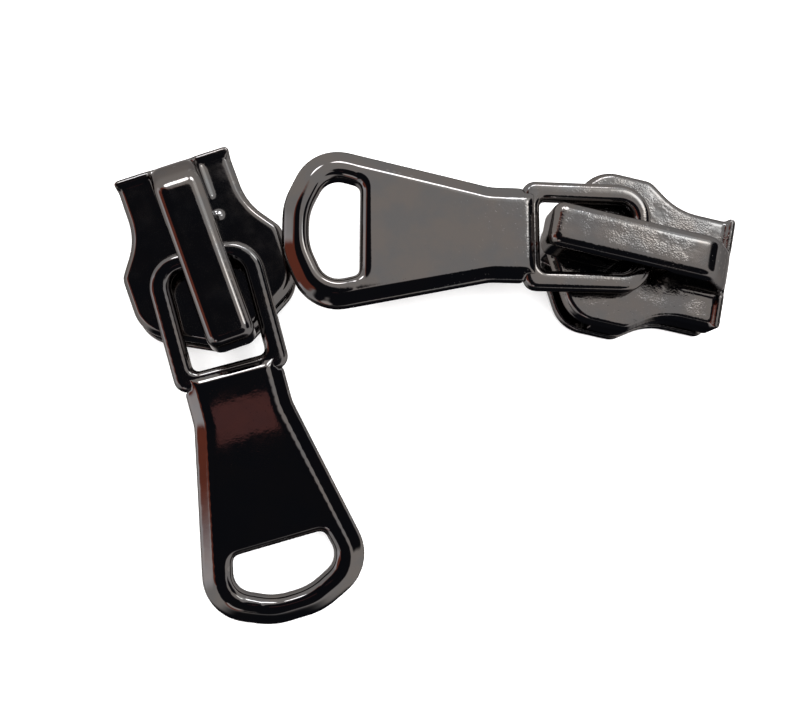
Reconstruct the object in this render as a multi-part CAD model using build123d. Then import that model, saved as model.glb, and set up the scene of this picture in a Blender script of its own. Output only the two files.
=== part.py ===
from build123d import *
import os
from math import asin, cos, degrees, radians, sin, tan

# A pair of automatic-lock zipper sliders, each with a link and a long pull tab, lying loose on a table.
# Millimetres, +Z up, table at z = 0, origin under the middle of the pair.
#
# Every piece is drawn once in its own frame and then placed for the left and the right slider.
# Slider frame: the flat tail edge is at y = 0 and the nose points along -Y.
# Pull frame: the middle of the link's bow bar is the origin and the tab points along -Y.

# ---- slider body ----
body_length = 17.05
body_width = 14.8
tail_width = 10.5
body_height = 5.2
lower_plate = 1.3
upper_plate = 1.2
tape_slot = 0.9
flange_wall = 1.25
plate_ledge = 0.1
side_straight = 3.6
flare_radius = 5.8
flare_angle = 35.0
nose_front = 2.9
nose_slant = 29.0
shoulder_radius = 1.5
cheek_radius = 3.4
nose_radius = 1.6
tail_radius = 0.7
edge_bevel_width = 0.42
edge_bevel_height = 0.65
rim_radius = 0.2
foot_bevel = 0.3
mouth_y = -11.6

# ---- wedge post between the plates ----
post_front = 2.9
post_width = 5.0
post_widest_y = -12.6
post_tip = 0.7
post_tip_y = -7.2

# ---- raised lip along the tail edge ----
lip_height = 0.3
lip_top = 0.4
lip_inset = 0.2
lip_foot_y = -1.0
lip_overhang = 0.08
lip_end_radius = 0.45

# ---- cover ----
cover_width = 4.2
cover_top = 9.3
cover_tail_y = -0.15
cover_nose_y = -17.9
cover_slope = 3.6
cover_foot_rise = 0.15
slope_low_share = (0.2, 0.44)
slope_high_share = (0.53, 0.8)
cover_wall = 0.5
cover_nose_wall = 1.2
cover_round = 0.95
cover_inner_bevel = 0.35
cover_nose_corner = 1.0
window_front_y = -11.1
window_rear_y = -6.6
window_top = 8.55

# ---- lugs on the body, inside the cover ----
lug_gap = 0.05
front_lug_length = 2.95
front_lug_top = 8.45
front_lug_bevel = 0.25
front_lug_back_bevel = 0.6
front_lug_foot_rise = 1.0
front_lug_foot_run = 0.7
rear_lug_y = -1.45
rear_lug_length = 1.75
rear_lug_top = 7.0
rear_lug_shoulder = 0.75
rear_lug_slant = 0.5
rear_lug_front_slant = 0.3
plinth_margin = 0.35
plinth_rear_y = -0.8
plinth_length = 3.4
plinth_height = 0.12
nose_pad_length = 1.6
stake_radius = 0.28
stake_y = -6.0

# ---- locking pawl and leaf spring, both inside the cover ----
strip_width = 1.4
pawl_thickness = 0.4
pawl_low = 7.45
pawl_pivot_y = -14.0
pawl_pivot_z = 7.5
pawl_end_radius = 0.45
pawl_corner_y = -7.5
pawl_knee = 6.2
hook_y = -4.2
hook_low = 2.9
hook_slot_length = 1.9
hook_slot_play = 0.15
spring_thickness = 0.12
spring_seat = 0.05
spring_clamp_length = 2.45
spring_end_gap = 0.1
spring_end_slope = 0.35
spring_rear_y = -4.3
pawl_gap = 0.03

# ---- link ----
link_width = 10.15
bow_bar_width = 1.6
side_bar_width = 1.85
bar_thickness = 1.46
bow_radius = 3.0
bow_inner_radius = 1.4
link_opening = 8.8
link_foot_radius = 1.2
link_foot_inner_radius = 0.55
link_edge_radius = 0.6

# ---- pull tab ----
tab_length = 23.2
neck_width = 8.8
neck_length = 4.6
neck_radius = 3.0
tab_corner_width = 15.6
tab_corner_y = 20.65
tab_corner_radius = 4.2
tab_end_width = 4.5
tab_end_radius = 6.2
tab_thickness = 2.2
tab_edge = 0.9
tab_bevel = 1.2
tab_step = 0.2
eye_start = 16.3
eye_depth = 4.5
eye_near_width = 8.2
eye_wide_width = 9.6
eye_wide_y = 19.2
eye_far_width = 3.0
eye_near_radius = 0.6
eye_wide_radius = 1.8
eye_far_radius = 5.0
eye_edge = 0.5

# ---- how the pair lies ----
bow_low = 6.35
bow_lift = 0.45
slider_places = {
    "left": {"x": -21.6, "y": 15.4, "turn": 20.6},
    "right": {"x": 29.8, "y": 6.2, "turn": -101.9},
}
pull_places = {
    "left": {"bow_x": -0.17, "bow_y": -9.5, "askew": -4.75, "slope": 8.1, "lifted": True},
    "right": {"bow_x": -1.05, "bow_y": -8.9, "askew": 11.6, "slope": -0.5, "lifted": False},
}

upper_inside = body_height - upper_plate
slot_top = lower_plate + tape_slot
roof_inside = cover_top - cover_wall
nose_inside_y = cover_nose_y + cover_nose_wall
inside_width = cover_width - 2 * cover_wall
bow_half = bow_bar_width / 2
tab_start = bow_half + link_opening
pawl_top = pawl_low + pawl_thickness
near = 0.05
beyond = 1.0


def mirrored(points):
    """The points of a right half outline, followed by their mirror images in reverse order."""
    return points + [(-x, y) for x, y in reversed(points)]


def closed(points):
    """A face with straight edges between the given points."""
    return make_face(Polyline(*points, close=True)).face()


def rounded(sketch, corner, radius):
    """The sketch with a fillet at one corner and at that corner's mirror image."""
    x, y = corner
    found = [v for v in sketch.vertices() if abs(abs(v.X) - x) < near and abs(v.Y - y) < near]
    return fillet(found, radius)


def bar_of(profile, width):
    """A solid of one side profile, a face drawn as (y, z), across the middle of the slider."""
    return extrude(Plane.YZ.offset(-width / 2) * profile, amount=width)


def box_between(low, high):
    """A box from its lowest corner to its highest one."""
    size = [b - a for a, b in zip(low, high)]
    middle = [(a + b) / 2 for a, b in zip(low, high)]
    return Pos(*middle) * Box(*size)


def bevel_rim(face, width, height):
    """Bevels the outer rim of a flat face: width across the face and height down the sides."""
    return chamfer(face.outer_wire().edges(), length=width, length2=height, reference=face)


def top_face(solid):
    return solid.faces().sort_by(Axis.Z)[-1]


def upright(edge):
    return abs(edge.tangent_at(0.5).Z) > 0.9


# ---------------------------------------------------------------- slider body


def flared_side(half_tail, half_wide, radius, start_y):
    """Right side of the plan: straight tail, concave arc and slanted line, up to the shoulder's corner."""
    turn = radians(flare_angle)
    tail_end = (half_tail, -side_straight)
    flare_end = (half_tail + radius * (1 - cos(turn)), -side_straight - radius * sin(turn))
    shoulder = (half_wide, flare_end[1] - (half_wide - flare_end[0]) / tan(turn))
    edges = [
        Line((half_tail, start_y), tail_end),
        TangentArc(tail_end, flare_end, tangent=(0, -1)),
        Line(flare_end, shoulder),
    ]
    return edges, shoulder


def closed_plan(right_edges):
    """A face from the edges of its right half, which start and end on the middle line."""
    return make_face(right_edges + [edge.mirror(Plane.YZ) for edge in right_edges])


def plate_outline(ledge=0.0):
    """Plan of a plate: flat tail, concave flare, broad shoulders and a blunt nose, wider by the ledge."""
    half_tail = tail_width / 2 + ledge
    half_body = body_width / 2 + ledge
    half_nose = nose_front / 2
    side, shoulder = flared_side(half_tail, half_body, flare_radius, 0)
    cheek = (half_body, (half_body - half_nose) * tan(radians(nose_slant)) - body_length)
    nose = (half_nose, -body_length)
    front = [Line(shoulder, cheek), Line(cheek, nose), Line(nose, (0, -body_length))]
    outline = closed_plan([Line((0, 0), (half_tail, 0))] + side + front)
    outline = rounded(outline, shoulder, shoulder_radius)
    outline = rounded(outline, cheek, cheek_radius)
    outline = rounded(outline, nose, nose_radius)
    return rounded(outline, (half_tail, 0), tail_radius)


def post_outline():
    """Plan of the wedge that joins the plates at the nose and parts the two halves of the chain."""
    return closed(
        mirrored(
            [(post_front / 2, -body_length), (post_width / 2, post_widest_y), (post_tip / 2, post_tip_y)]
        )
    )


def chain_channel():
    """Space between the flanges: the tail channel, the widening middle and the two open mouths."""
    half_tail = tail_width / 2 - flange_wall
    half_wide = body_width / 2 - flange_wall
    far_y = -body_length - beyond
    side, shoulder = flared_side(half_tail, half_wide, flare_radius + flange_wall, beyond)
    mouth = [
        Line(shoulder, (half_wide, mouth_y)),
        Line((half_wide, mouth_y), (body_width, mouth_y)),
        Line((body_width, mouth_y), (body_width, far_y)),
        Line((body_width, far_y), (0, far_y)),
    ]
    plan = closed_plan([Line((0, beyond), (half_tail, beyond))] + side + mouth)
    height = upper_inside - slot_top + near
    channel = extrude(plan, amount=height) - extrude(post_outline(), amount=height)
    return Pos(0, 0, slot_top - near) * channel


def lower_plate_solid():
    plate = extrude(plate_outline(plate_ledge), amount=lower_plate)
    return chamfer(plate.faces().sort_by(Axis.Z)[0].outer_wire().edges(), foot_bevel)


def upper_plate_solid():
    """Upper plate with its side flanges, which end above the tape slots."""
    plate = Pos(0, 0, slot_top) * extrude(plate_outline(), amount=body_height - slot_top)
    plate = bevel_rim(top_face(plate), edge_bevel_width, edge_bevel_height)
    plate = fillet(top_face(plate).outer_wire().edges(), rim_radius)
    return plate + tail_lip() - chain_channel()


def tail_lip():
    """Raised lip across the tail edge and down its corners, broken where the cover stands."""
    top = body_height + lip_height
    profile = closed(
        [
            (0, slot_top),
            (0, body_height),
            (-lip_inset, top),
            (-lip_inset - lip_top, top),
            (lip_foot_y, body_height),
            (lip_foot_y, slot_top),
        ]
    )
    lip = bar_of(profile, tail_width + 2 * lip_overhang)
    lip = fillet(lip.edges().filter_by(upright), lip_end_radius)
    half = cover_width / 2
    return lip - box_between((-half, lip_foot_y - beyond, body_height), (half, beyond, top + beyond))


def front_lug():
    """Lug that holds the cover's nose end, with the round socket that the pawl's end sits in."""
    front = nose_inside_y
    rear = front + front_lug_length
    root = body_height - near
    profile = [
        (front, root),
        (front, front_lug_top - front_lug_bevel),
        (front + front_lug_bevel, front_lug_top),
        (rear - front_lug_back_bevel, front_lug_top),
        (rear, pawl_pivot_z),
        (rear, root + front_lug_foot_rise),
        (rear + front_lug_foot_run, root),
    ]
    lug = bar_of(closed(profile), inside_width)
    socket_radius = pawl_end_radius + lug_gap
    socket = Pos(0, pawl_pivot_y, pawl_pivot_z) * Rot(0, 90, 0) * Cylinder(socket_radius, cover_width)
    mouth = box_between(
        (-cover_width, pawl_pivot_y, pawl_pivot_z - socket_radius),
        (cover_width, rear + beyond, front_lug_top + near),
    )
    return lug - socket - mouth


def rear_lug():
    """Low lug that holds the cover's tail end."""
    front = rear_lug_y - rear_lug_length
    root = body_height - near
    profile = [
        (rear_lug_y, root),
        (rear_lug_y, rear_lug_top - rear_lug_shoulder),
        (rear_lug_y - rear_lug_slant, rear_lug_top),
        (front + rear_lug_front_slant, rear_lug_top),
        (front, root),
    ]
    return bar_of(closed(profile), inside_width)


def cover_plinth():
    """Low rim on the plate around the cover's tail end, and the staking mark beside it."""
    half = cover_width / 2
    outer = half + plinth_margin
    top = body_height + plinth_height
    front = plinth_rear_y - plinth_length
    plinth = box_between((-outer, front, body_height - near), (outer, plinth_rear_y, top))
    plinth -= box_between((-half, front - beyond, body_height), (half, beyond, top + beyond))
    stake = Pos(half + stake_radius, stake_y, body_height) * Cylinder(stake_radius, 2 * plinth_height)
    return plinth + stake


def nose_pad():
    """Unbevelled part of the nose that the cover's end stands on."""
    half = cover_width / 2
    rear = nose_pad_length - body_length
    block = box_between((-half, -body_length - beyond, 0), (half, rear, body_height))
    return block & (Pos(0, 0, upper_inside) * extrude(plate_outline(), amount=upper_plate))


def slider_body():
    post = extrude(post_outline(), amount=body_height - upper_plate / 2)
    body = lower_plate_solid() + upper_plate_solid() + post
    body += nose_pad() + front_lug() + rear_lug() + cover_plinth()
    half = strip_width / 2 + hook_slot_play
    hook_front = hook_y - hook_slot_length / 2
    return body - box_between(
        (-half, hook_front, upper_inside - near),
        (half, hook_front + hook_slot_length, body_height + beyond),
    )


# ---------------------------------------------------------------- cover


def cover_profile(inset=0.0, nose_inset=0.0):
    """Side profile of the cover: long rounded slope at the tail, level roof, upright end at the nose."""
    rise = cover_top - body_height
    top = cover_top - inset
    tail = cover_tail_y - inset
    nose = cover_nose_y + nose_inset
    foot = (tail, body_height - inset)
    knee = (tail, body_height + cover_foot_rise)
    slope_end = (cover_tail_y - cover_slope - inset / 2, top)
    low_run, low_rise = slope_low_share
    high_run, high_rise = slope_high_share
    slope = Spline(
        knee,
        (tail - low_run * cover_slope, body_height + low_rise * rise - inset / 2),
        (tail - high_run * cover_slope, body_height + high_rise * rise - inset),
        slope_end,
        tangents=[(-0.25, 1), (-1, 0)],
    )
    roof = Line(slope_end, (nose, top))
    front = Line((nose, top), (nose, foot[1]))
    return make_face(Wire([slope, roof, front, Line((nose, foot[1]), foot), Line(foot, knee)])).face()


def roof_edges(bar):
    """The long edges of a bar's roof and rear slope, on both of its sides."""
    half = bar.bounding_box().max.X
    beside = [edge for edge in bar.edges() if abs(abs(edge.center().X) - half) < near]
    return [edge for edge in beside if edge.center().Z > body_height + near and not upright(edge)]


def nose_edges(bar):
    """The roof's edge across the nose and round its two corners."""
    rear = cover_nose_y + cover_nose_corner
    return [edge for edge in top_face(bar).edges() if edge.center().Y < rear]


def slider_cover():
    """Hollow cover whose nose end hangs over the body's nose."""
    shell = bar_of(cover_profile(), cover_width)
    nose = shell.faces().sort_by(Axis.Y)[0]
    shell = fillet(nose.edges().filter_by(Axis.Z), cover_nose_corner)
    shell = fillet(roof_edges(shell) + nose_edges(shell), cover_round)
    hollow = bar_of(cover_profile(cover_wall, cover_nose_wall), inside_width)
    hollow = chamfer(roof_edges(hollow), cover_inner_bevel)
    window = box_between((-cover_width, window_front_y, 0), (cover_width, window_rear_y, window_top))
    below = box_between((-cover_width, -2 * body_length, 0), (cover_width, beyond, body_height))
    return shell - hollow - window - below


# ---------------------------------------------------------------- pawl and spring


def locking_pawl():
    """Bent strip in its locked place: round pivot end at the nose, hook down into the chain channel."""
    half = pawl_thickness / 2
    profile = [
        (pawl_pivot_y, pawl_low),
        (pawl_pivot_y, pawl_top),
        (pawl_corner_y, pawl_top),
        (hook_y + half, pawl_knee + half),
        (hook_y + half, hook_low + half),
        (hook_y, hook_low),
        (hook_y - half, hook_low),
        (hook_y - half, pawl_knee - half),
        (pawl_corner_y, pawl_low),
    ]
    end = Pos(0, pawl_pivot_y, pawl_pivot_z) * Rot(0, 90, 0) * Cylinder(pawl_end_radius, strip_width)
    return bar_of(closed(profile), strip_width) + end


def leaf_spring(dip):
    """Thin strip clamped under the roof over the front lug, which dips to the given height on the pawl."""
    low = roof_inside - spring_seat - spring_thickness
    clamp_y = nose_inside_y + spring_clamp_length
    front_y = nose_inside_y + spring_end_gap

    def waved(lift):
        points = [(clamp_y, low + lift), (pawl_corner_y, dip + lift), (spring_rear_y, low + lift)]
        return Spline(points, tangents=[(1, 0), (1, spring_end_slope)])

    edges = [
        Line((front_y, low), (clamp_y, low)),
        waved(0),
        Line((spring_rear_y, low), (spring_rear_y, low + spring_thickness)),
        waved(spring_thickness),
        Line((clamp_y, low + spring_thickness), (front_y, low + spring_thickness)),
        Line((front_y, low + spring_thickness), (front_y, low)),
    ]
    return bar_of(make_face(Wire(edges)).face(), strip_width)


# ---------------------------------------------------------------- link and tab


def pull_link():
    """D-shaped link with a rounded bow and a square end that the tab is cast over."""
    half = link_width / 2
    foot = -tab_start - bow_bar_width
    outer = closed(mirrored([(half, bow_half), (half, foot)]))
    outer = rounded(outer, (half, bow_half), bow_radius)
    outer = rounded(outer, (half, foot), link_foot_radius)
    inside = half - side_bar_width
    inner = closed(mirrored([(inside, -bow_half), (inside, -tab_start)]))
    inner = rounded(inner, (inside, -bow_half), bow_inner_radius)
    inner = rounded(inner, (inside, -tab_start), link_foot_inner_radius)
    link = Pos(0, 0, -bar_thickness / 2) * extrude(outer - inner, amount=bar_thickness)
    return fillet(link.faces().filter_by(Axis.Z).edges(), link_edge_radius)


def tab_outline():
    """Plan of the tab: narrow neck, straight flare and a broad bowed end."""
    neck = (neck_width / 2, -neck_length)
    corner = (tab_corner_width / 2, -tab_corner_y)
    end = (tab_end_width / 2, -tab_length)
    outline = closed(mirrored([(neck_width / 2, 2 * near), neck, corner, end]))
    outline = rounded(outline, neck, neck_radius)
    outline = rounded(outline, end, tab_end_radius)
    return rounded(outline, corner, tab_corner_radius)


def eye_outline():
    """D-shaped eye: straight edge towards the link, sides that widen, bowed far edge."""
    near_corner = (eye_near_width / 2, -eye_start)
    wide_corner = (eye_wide_width / 2, -eye_wide_y)
    far_corner = (eye_far_width / 2, -eye_start - eye_depth)
    outline = closed(mirrored([near_corner, wide_corner, far_corner]))
    outline = rounded(outline, near_corner, eye_near_radius)
    outline = rounded(outline, far_corner, eye_far_radius)
    return rounded(outline, wide_corner, eye_wide_radius)


def pull_tab(link):
    """Tab with bevelled faces and an eye, cast over the link's square end."""
    half = tab_thickness / 2
    tab = Pos(0, 0, -half) * extrude(tab_outline(), amount=tab_thickness)
    for end in (-1, 0):
        tab = bevel_rim(tab.faces().sort_by(Axis.Z)[end], tab_bevel, (tab_thickness - tab_edge) / 2)
    tab -= box_between((-neck_width, -tab_step, -tab_thickness), (neck_width, beyond, tab_thickness))
    tab -= Pos(0, 0, -tab_thickness) * extrude(eye_outline(), amount=2 * tab_thickness)
    eye_rims = [
        edge
        for edge in tab.edges()
        if abs(abs(edge.center().Z) - half) < near
        and -eye_start - eye_depth - near < edge.center().Y < -eye_start + near
        and abs(edge.center().X) < eye_wide_width / 2 + near
    ]
    tab = chamfer(eye_rims, eye_edge)
    return Pos(0, -tab_start) * tab - link


# ---------------------------------------------------------------- placing the pieces


def slider_place(side):
    place = slider_places[side]
    return Location((place["x"], place["y"], 0), (0, 0, place["turn"]))


def pull_place(side):
    """Where the pull lies in its slider's frame: askew in the cover's window and sloped down or up."""
    place = pull_places[side]
    bow_z = bow_low + (bow_lift if place["lifted"] else 0)
    turned = Location((place["bow_x"], place["bow_y"], bow_z), (0, 0, place["askew"]))
    return turned * Location((0, 0, 0), (place["slope"], 0, 0))


def swing_axis_y(side):
    """Where the bow bar crosses the slider's middle line: the pull swings about the axis across there."""
    place = pull_places[side]
    return place["bow_y"] - place["bow_x"] * tan(radians(place["askew"]))


def pawl_lift_angle(side):
    """How far the pawl turns about its pivot while the bow rises by bow_lift."""
    return degrees(asin(bow_lift / (swing_axis_y(side) - pawl_pivot_y)))


def slider_pieces(side):
    lift_angle = pawl_lift_angle(side) if pull_places[side]["lifted"] else 0
    pivot = Axis((0, pawl_pivot_y, pawl_pivot_z), (1, 0, 0))
    rise = (pawl_corner_y - pawl_pivot_y) * sin(radians(lift_angle))
    link = pull_link()
    return {
        "body": slider_body(),
        "cover": slider_cover(),
        "leaf_spring": leaf_spring(pawl_top + rise + pawl_gap),
        "locking_pawl": locking_pawl().rotate(pivot, lift_angle),
        "pull_link": pull_place(side) * link,
        "pull_tab": pull_place(side) * pull_tab(link),
    }


def build():
    """Every piece in its place, with the origin moved under the middle of the pair."""
    placed = {}
    for side in slider_places:
        for name, piece in slider_pieces(side).items():
            placed[f"{side}_{name}"] = slider_place(side) * piece
    middle = Compound(list(placed.values())).bounding_box().center()
    to_middle = Pos(-middle.X, -middle.Y, 0)
    return {name: to_middle * piece for name, piece in placed.items()}, to_middle


pieces, to_middle = build()
os.makedirs("parts", exist_ok=True)
for node, piece in pieces.items():
    export_step(piece, f"parts/{node}.step")
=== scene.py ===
from math import cos, radians, sin

import bpy
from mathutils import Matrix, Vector


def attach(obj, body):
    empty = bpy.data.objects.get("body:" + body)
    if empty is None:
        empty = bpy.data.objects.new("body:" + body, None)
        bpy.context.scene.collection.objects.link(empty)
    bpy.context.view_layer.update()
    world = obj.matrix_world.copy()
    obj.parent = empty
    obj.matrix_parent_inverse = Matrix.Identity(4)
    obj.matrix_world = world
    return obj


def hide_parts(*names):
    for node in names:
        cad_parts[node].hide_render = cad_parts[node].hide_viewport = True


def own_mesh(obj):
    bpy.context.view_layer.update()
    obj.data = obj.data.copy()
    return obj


# Looks of the pair of zipper sliders: soft-edged black-nickel castings, a white table and studio light.
# Everything is in metres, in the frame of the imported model.

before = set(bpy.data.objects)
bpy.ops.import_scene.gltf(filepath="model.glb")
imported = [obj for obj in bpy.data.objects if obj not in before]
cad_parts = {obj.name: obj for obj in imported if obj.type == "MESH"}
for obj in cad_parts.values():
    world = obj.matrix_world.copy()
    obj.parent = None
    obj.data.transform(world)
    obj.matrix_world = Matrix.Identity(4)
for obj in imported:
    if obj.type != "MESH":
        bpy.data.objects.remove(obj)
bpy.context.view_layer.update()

MM = 0.001
strip_edge = 0.04 * MM


# ---------------------------------------------------------------- node helpers


class Graph:
    """Small helper that adds and links the nodes of one node tree."""

    def __init__(self, tree):
        self.tree = tree

    def add(self, kind, **settings):
        node = self.tree.nodes.new(kind)
        for name, value in settings.items():
            setattr(node, name, value)
        return node

    def link(self, output, socket):
        self.tree.links.new(output, socket)

    def noise(self, where, feature_size, detail=2.0, offset=0.0):
        """Soft noise from 0 to 1 whose blobs are about feature_size metres across."""
        if offset:
            shift = self.add("ShaderNodeVectorMath", operation="ADD")
            shift.inputs[1].default_value = (offset, offset, offset)
            self.link(where, shift.inputs[0])
            where = shift.outputs[0]
        node = self.add("ShaderNodeTexNoise")
        node.inputs["Scale"].default_value = 1 / feature_size
        node.inputs["Detail"].default_value = detail
        self.link(where, node.inputs["Vector"])
        return node.outputs[0]

    def dot(self, where, axis):
        """How far a direction or place reaches along a fixed axis."""
        node = self.add("ShaderNodeVectorMath", operation="DOT_PRODUCT")
        node.inputs[1].default_value = axis
        self.link(where, node.inputs[0])
        return node.outputs["Value"]

    def remap(self, value, low, high, to_low=0.0, to_high=1.0):
        """The value stretched smoothly from low..high to to_low..to_high, and held there."""
        node = self.add("ShaderNodeMapRange", interpolation_type="SMOOTHSTEP")
        node.inputs["From Min"].default_value = low
        node.inputs["From Max"].default_value = high
        node.inputs["To Min"].default_value = to_low
        node.inputs["To Max"].default_value = to_high
        self.link(value, node.inputs["Value"])
        return node.outputs["Result"]

    def mix(self, factor, first, second):
        """Colour mix; each colour is an output or a plain rgb triple."""
        node = self.add("ShaderNodeMix", data_type="RGBA")
        self.link(factor, node.inputs["Factor"])
        for socket, colour in ((node.inputs[6], first), (node.inputs[7], second)):
            if isinstance(colour, tuple):
                socket.default_value = (*colour, 1)
            else:
                self.link(colour, socket)
        return node.outputs[2]

    def combine(self, operation, first, second):
        """Two values put together by a math operation."""
        node = self.add("ShaderNodeMath", operation=operation)
        self.link(first, node.inputs[0])
        self.link(second, node.inputs[1])
        return node.outputs[0]

    def bump(self, height, depth, normal=None):
        """Surface relief of the given depth in metres, on top of an earlier one."""
        node = self.add("ShaderNodeBump")
        node.inputs["Distance"].default_value = depth
        self.link(height, node.inputs["Height"])
        if normal is not None:
            self.link(normal, node.inputs["Normal"])
        return node.outputs["Normal"]


def new_material(name):
    """A node material, its graph and its surface shader."""
    material = bpy.data.materials.new(name)
    material.use_nodes = True
    graph = Graph(material.node_tree)
    return material, graph, material.node_tree.nodes["Principled BSDF"]


# ---------------------------------------------------------------- camera


def make_camera():
    """Close above the table, leaning a little, with a lens of normal angle."""
    data = bpy.data.cameras.new("camera")
    data.sensor_width = 36.0
    data.lens = 44.59
    data.clip_start = 0.005
    camera = bpy.data.objects.new("camera", data)
    camera.location = Vector((-11.0, -10.29, 91.63)) * MM
    camera.rotation_euler = (radians(8.54), radians(-5.08), 0)
    bpy.context.scene.collection.objects.link(camera)
    bpy.context.scene.camera = camera


# ---------------------------------------------------------------- studio


def direction(tilt, azimuth):
    """Unit vector leaning tilt degrees from straight up, towards azimuth (0 is +X, 90 is +Y)."""
    lean = radians(tilt)
    turn = radians(azimuth)
    return Vector((sin(lean) * cos(turn), sin(lean) * sin(turn), cos(lean)))


def add_card(graph, where, colour, middle, turn, half_size, shade):
    """A small straight-edged card in the studio, seen as a rectangle in flat plating."""
    edge = 0.002
    inside = graph.remap(graph.dot(where, middle), 0.0, 0.1)
    for axis_turn, half in zip((turn, turn + 90), half_size):
        axis = direction(90, axis_turn)
        away = graph.add("ShaderNodeMath", operation="SUBTRACT")
        away.inputs[1].default_value = axis.dot(middle)
        graph.link(graph.dot(where, axis), away.inputs[0])
        distance = graph.add("ShaderNodeMath", operation="ABSOLUTE")
        graph.link(away.outputs[0], distance.inputs[0])
        within = graph.remap(distance.outputs[0], half - edge, half + edge, 1.0, 0.0)
        inside = graph.combine("MULTIPLY", inside, within)
    return graph.mix(inside, colour, shade)


def make_studio():
    """Surroundings that the plating mirrors: patches of light and dark over a grey room, and one card.

    The camera itself sees plain white there.
    """
    world = bpy.data.worlds.new("studio")
    bpy.context.scene.world = world
    world.use_nodes = True
    world.node_tree.nodes.clear()
    graph = Graph(world.node_tree)
    background = graph.add("ShaderNodeBackground")
    graph.link(background.outputs[0], graph.add("ShaderNodeOutputWorld").inputs["Surface"])
    where = graph.add("ShaderNodeTexCoord").outputs["Generated"]
    dark = (0.016, 0.017, 0.022)
    brown = (0.40, 0.11, 0.07)
    white = (1.15, 1.1, 1.12)
    glow = (4.6, 4.6, 4.5)
    lamp = (9.0, 9.0, 9.2)
    colour = (0.70, 0.67, 0.65)
    patches = [
        # tilt, azimuth, half width and soft edge in degrees, colour
        (110, 268, 42, 8, dark),
        (155, 300, 27, 5, dark),
        (72, 185, 24, 6, white),
        (38, 52, 10, 7, (1.3, 1.3, 1.28)),
        (32, 41, 4.5, 2, glow),
        (60, 183, 14, 3, brown),
        (26, 185, 29, 1.5, brown),
        (19, 186, 25.8, 0.8, dark),
        (36, 270, 30, 3, dark),
        (54, 12, 20, 3, dark),
        (62, 250, 8, 4, brown),
        (54, 254, 8, 2, (1.0, 0.95, 0.93)),
        (42, 72, 5, 2, lamp),
        (41, 84, 6, 2, lamp),
        (40, 112, 5, 2, lamp),
    ]
    for tilt, azimuth, half_width, soft, shade in patches:
        outer = cos(radians(half_width + soft))
        inner = cos(radians(half_width - soft))
        inside = graph.remap(graph.dot(where, direction(tilt, azimuth)), outer, inner)
        colour = graph.mix(inside, colour, shade)
    card_middle = direction(11.0, 273.3)
    colour = add_card(graph, where, colour, card_middle, 16, (0.0325, 0.019), (0.235, 0.094, 0.090))
    path = graph.add("ShaderNodeLightPath")
    colour = graph.mix(path.outputs["Is Camera Ray"], colour, (1.0, 1.0, 1.0))
    graph.link(colour, background.inputs["Color"])


def make_lamp():
    """A wide soft light overhead that whitens the table and leaves no reflection of itself."""
    data = bpy.data.lights.new("overhead", "AREA")
    data.shape = "DISK"
    data.size = 1.2
    data.energy = 34.0
    lamp = bpy.data.objects.new("overhead", data)
    lamp.location = (0.1, 0.15, 1.0)
    lamp.rotation_euler = (-lamp.location).to_track_quat("-Z", "Y").to_euler()
    lamp.visible_glossy = False
    bpy.context.scene.collection.objects.link(lamp)


def make_table():
    """White table top under the pair."""
    half = 20.0
    below = -0.02 * MM
    corners = [(x * half, y * half, below) for x, y in ((-1, -1), (1, -1), (1, 1), (-1, 1))]
    mesh = bpy.data.meshes.new("table")
    mesh.from_pydata(corners, [], [(0, 1, 2, 3)])
    table = bpy.data.objects.new("table", mesh)
    table.visible_glossy = False
    material, graph, shader = new_material("white_table")
    where = graph.add("ShaderNodeTexCoord").outputs["Object"]
    grain = graph.noise(where, 0.4 * MM, detail=4)
    graph.link(graph.mix(grain, (0.60, 0.60, 0.60), (0.64, 0.64, 0.64)), shader.inputs["Base Color"])
    shader.inputs["Emission Color"].default_value = (1, 1, 1, 1)
    shader.inputs["Emission Strength"].default_value = 0.45
    graph.link(graph.bump(grain, 0.01 * MM), shader.inputs["Normal"])
    shader.inputs["Roughness"].default_value = 0.75
    shader.inputs["Specular IOR Level"].default_value = 0.1
    mesh.materials.append(material)
    bpy.context.scene.collection.objects.link(table)


# ---------------------------------------------------------------- metals


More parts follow.
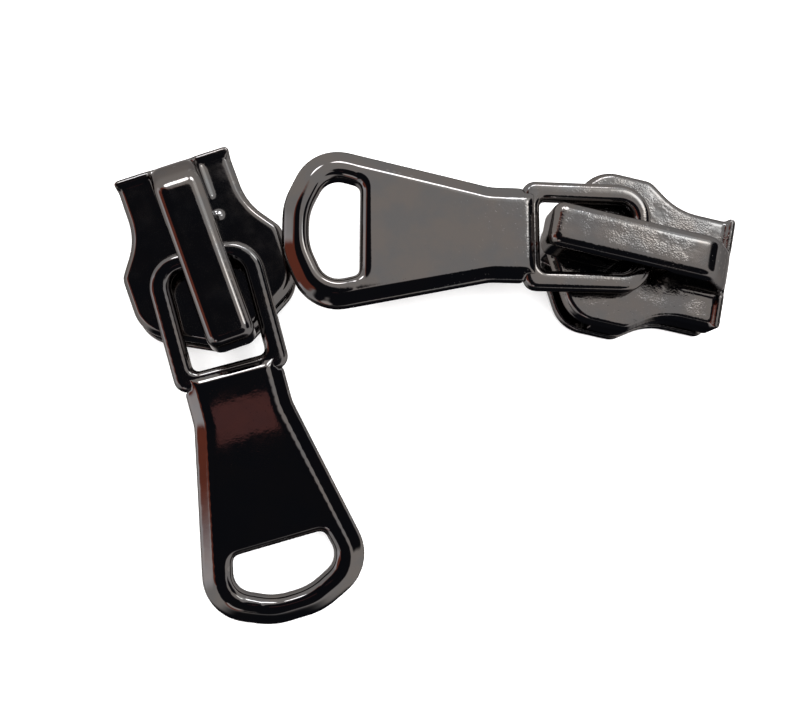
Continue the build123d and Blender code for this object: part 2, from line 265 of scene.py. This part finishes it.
def plating(name, colour, roughness, peel_depth, grain_depth, pit_depth):
    """Black-nickel plating: a dark mirror with orange peel, rough patches, fine pits and worn edges.

    The right slider's plating is the rougher of the two.
    """
    material, graph, shader = new_material(name)
    where = graph.add("ShaderNodeTexCoord").outputs["Object"]
    across = graph.add("ShaderNodeSeparateXYZ")
    graph.link(where, across.inputs[0])
    rougher = graph.remap(across.outputs["X"], -6 * MM, 14 * MM, 0.05, 1.0)
    cloud = graph.noise(where, 3.0 * MM, detail=5)
    peel = graph.noise(where, 0.9 * MM, detail=2, offset=0.31)
    grain = graph.noise(where, 0.16 * MM, detail=2, offset=0.77)
    patch = graph.remap(graph.noise(where, 2.2 * MM, detail=3, offset=0.17), 0.36, 0.66)
    pits = graph.add("ShaderNodeTexVoronoi")
    pits.inputs["Scale"].default_value = 1 / (0.32 * MM)
    graph.link(where, pits.inputs["Vector"])
    pit = graph.remap(pits.outputs["Distance"], 0.02, 0.16)
    clean = graph.remap(graph.noise(where, 0.7 * MM, detail=1, offset=0.91), 0.47, 0.52)

    warm = tuple(c * t for c, t in zip(colour, (1.05, 1.0, 0.97)))
    cool = tuple(c * t for c, t in zip(colour, (0.93, 0.95, 0.98)))
    worn = tuple(1.3 * c for c in colour)
    tint = graph.mix(graph.remap(cloud, 0.35, 0.65), cool, warm)
    pointed = graph.add("ShaderNodeNewGeometry").outputs["Pointiness"]
    tint = graph.mix(graph.remap(pointed, 0.53, 0.60, 0.0, 0.8), tint, worn)
    graph.link(tint, shader.inputs["Base Color"])

    smudge = graph.noise(where, 1.6 * MM, detail=6, offset=0.53)
    graph.link(graph.remap(smudge, 0.3, 0.75, 0.7 * roughness, 1.7 * roughness), shader.inputs["Roughness"])

    grain_here = graph.combine("MULTIPLY", grain, graph.combine("MULTIPLY", patch, rougher))
    pits_here = graph.combine("MULTIPLY", graph.combine("MAXIMUM", pit, clean), rougher)
    normal = graph.bump(peel, peel_depth)
    normal = graph.bump(grain_here, grain_depth, normal)
    normal = graph.bump(pits_here, pit_depth, normal)
    graph.link(normal, shader.inputs["Normal"])
    shader.inputs["Metallic"].default_value = 1.0
    shader.inputs["Specular Tint"].default_value = (0.45, 0.44, 0.44, 1)
    return material


def spring_steel():
    """Bright rolled strip with fine grain."""
    material, graph, shader = new_material("spring_steel")
    where = graph.add("ShaderNodeTexCoord").outputs["Object"]
    grain = graph.noise(where, 0.2 * MM, detail=5)
    graph.link(graph.mix(grain, (0.48, 0.48, 0.49), (0.62, 0.62, 0.63)), shader.inputs["Base Color"])
    graph.link(graph.remap(grain, 0.3, 0.7, 0.25, 0.4), shader.inputs["Roughness"])
    graph.link(graph.bump(grain, 0.004 * MM), shader.inputs["Normal"])
    shader.inputs["Metallic"].default_value = 1.0
    return material


# ---------------------------------------------------------------- castings


def soften(node, cell, passes):
    """Turns a sharp solid into a casting: an even mesh of small cells whose edges are melted round."""
    even = node.modifiers.new("even_mesh", "REMESH")
    even.mode = "VOXEL"
    even.voxel_size = cell
    even.use_smooth_shade = True
    melt = node.modifiers.new("melt_edges", "SMOOTH")
    melt.factor = 0.5
    melt.iterations = passes


def break_edges(node, width):
    """Small bevels on the edges of a stamped strip."""
    bevel = node.modifiers.new("broken_edges", "BEVEL")
    bevel.width = width
    bevel.segments = 2
    bevel.limit_method = "ANGLE"
    bevel.angle_limit = radians(30)


def yielding_spring(node):
    """Stands in for the leaf spring with a copy of its strip, with broken edges, carried by the right
    slider.
    """
    strip = bpy.data.objects.new(node.name + "_strip", node.data.copy())
    strip.matrix_world = node.matrix_world
    bpy.context.scene.collection.objects.link(strip)
    break_edges(strip, strip_edge)
    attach(strip, "right_slider")
    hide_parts(node.name)
    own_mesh(strip)


def dress(nodes):
    """Gives every piece its surface and its softened or broken edges."""
    nickel = (0.198, 0.193, 0.190)
    surfaces = {
        "body": plating("body_plating", nickel, 0.07, 0.004 * MM, 0.022 * MM, 0.010 * MM),
        "cover": plating("cover_plating", nickel, 0.07, 0.006 * MM, 0.018 * MM, 0.010 * MM),
        "pull_link": plating("link_plating", nickel, 0.07, 0.004 * MM, 0.008 * MM, 0.004 * MM),
        "pull_tab": plating("tab_plating", nickel, 0.03, 0.0015 * MM, 0.012 * MM, 0.010 * MM),
        "locking_pawl": plating("pawl_plating", nickel, 0.25, 0.006 * MM, 0.006 * MM, 0.002 * MM),
        "leaf_spring": spring_steel(),
    }
    castings = {"body": (0.125, 12), "cover": (0.10, 26), "pull_link": (0.11, 14), "pull_tab": (0.12, 32)}
    for name, node in nodes.items():
        part = name.split("_", 1)[1]
        node.data.materials.clear()
        node.data.materials.append(surfaces[part])
        if part in castings:
            cell, passes = castings[part]
            soften(node, cell * MM, passes)
        else:
            break_edges(node, strip_edge)


make_camera()
make_studio()
make_lamp()
make_table()
dress(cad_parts)
yielding_spring(
    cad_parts["right_leaf_spring"]
)
bpy.context.scene.view_settings.view_transform = "Standard"
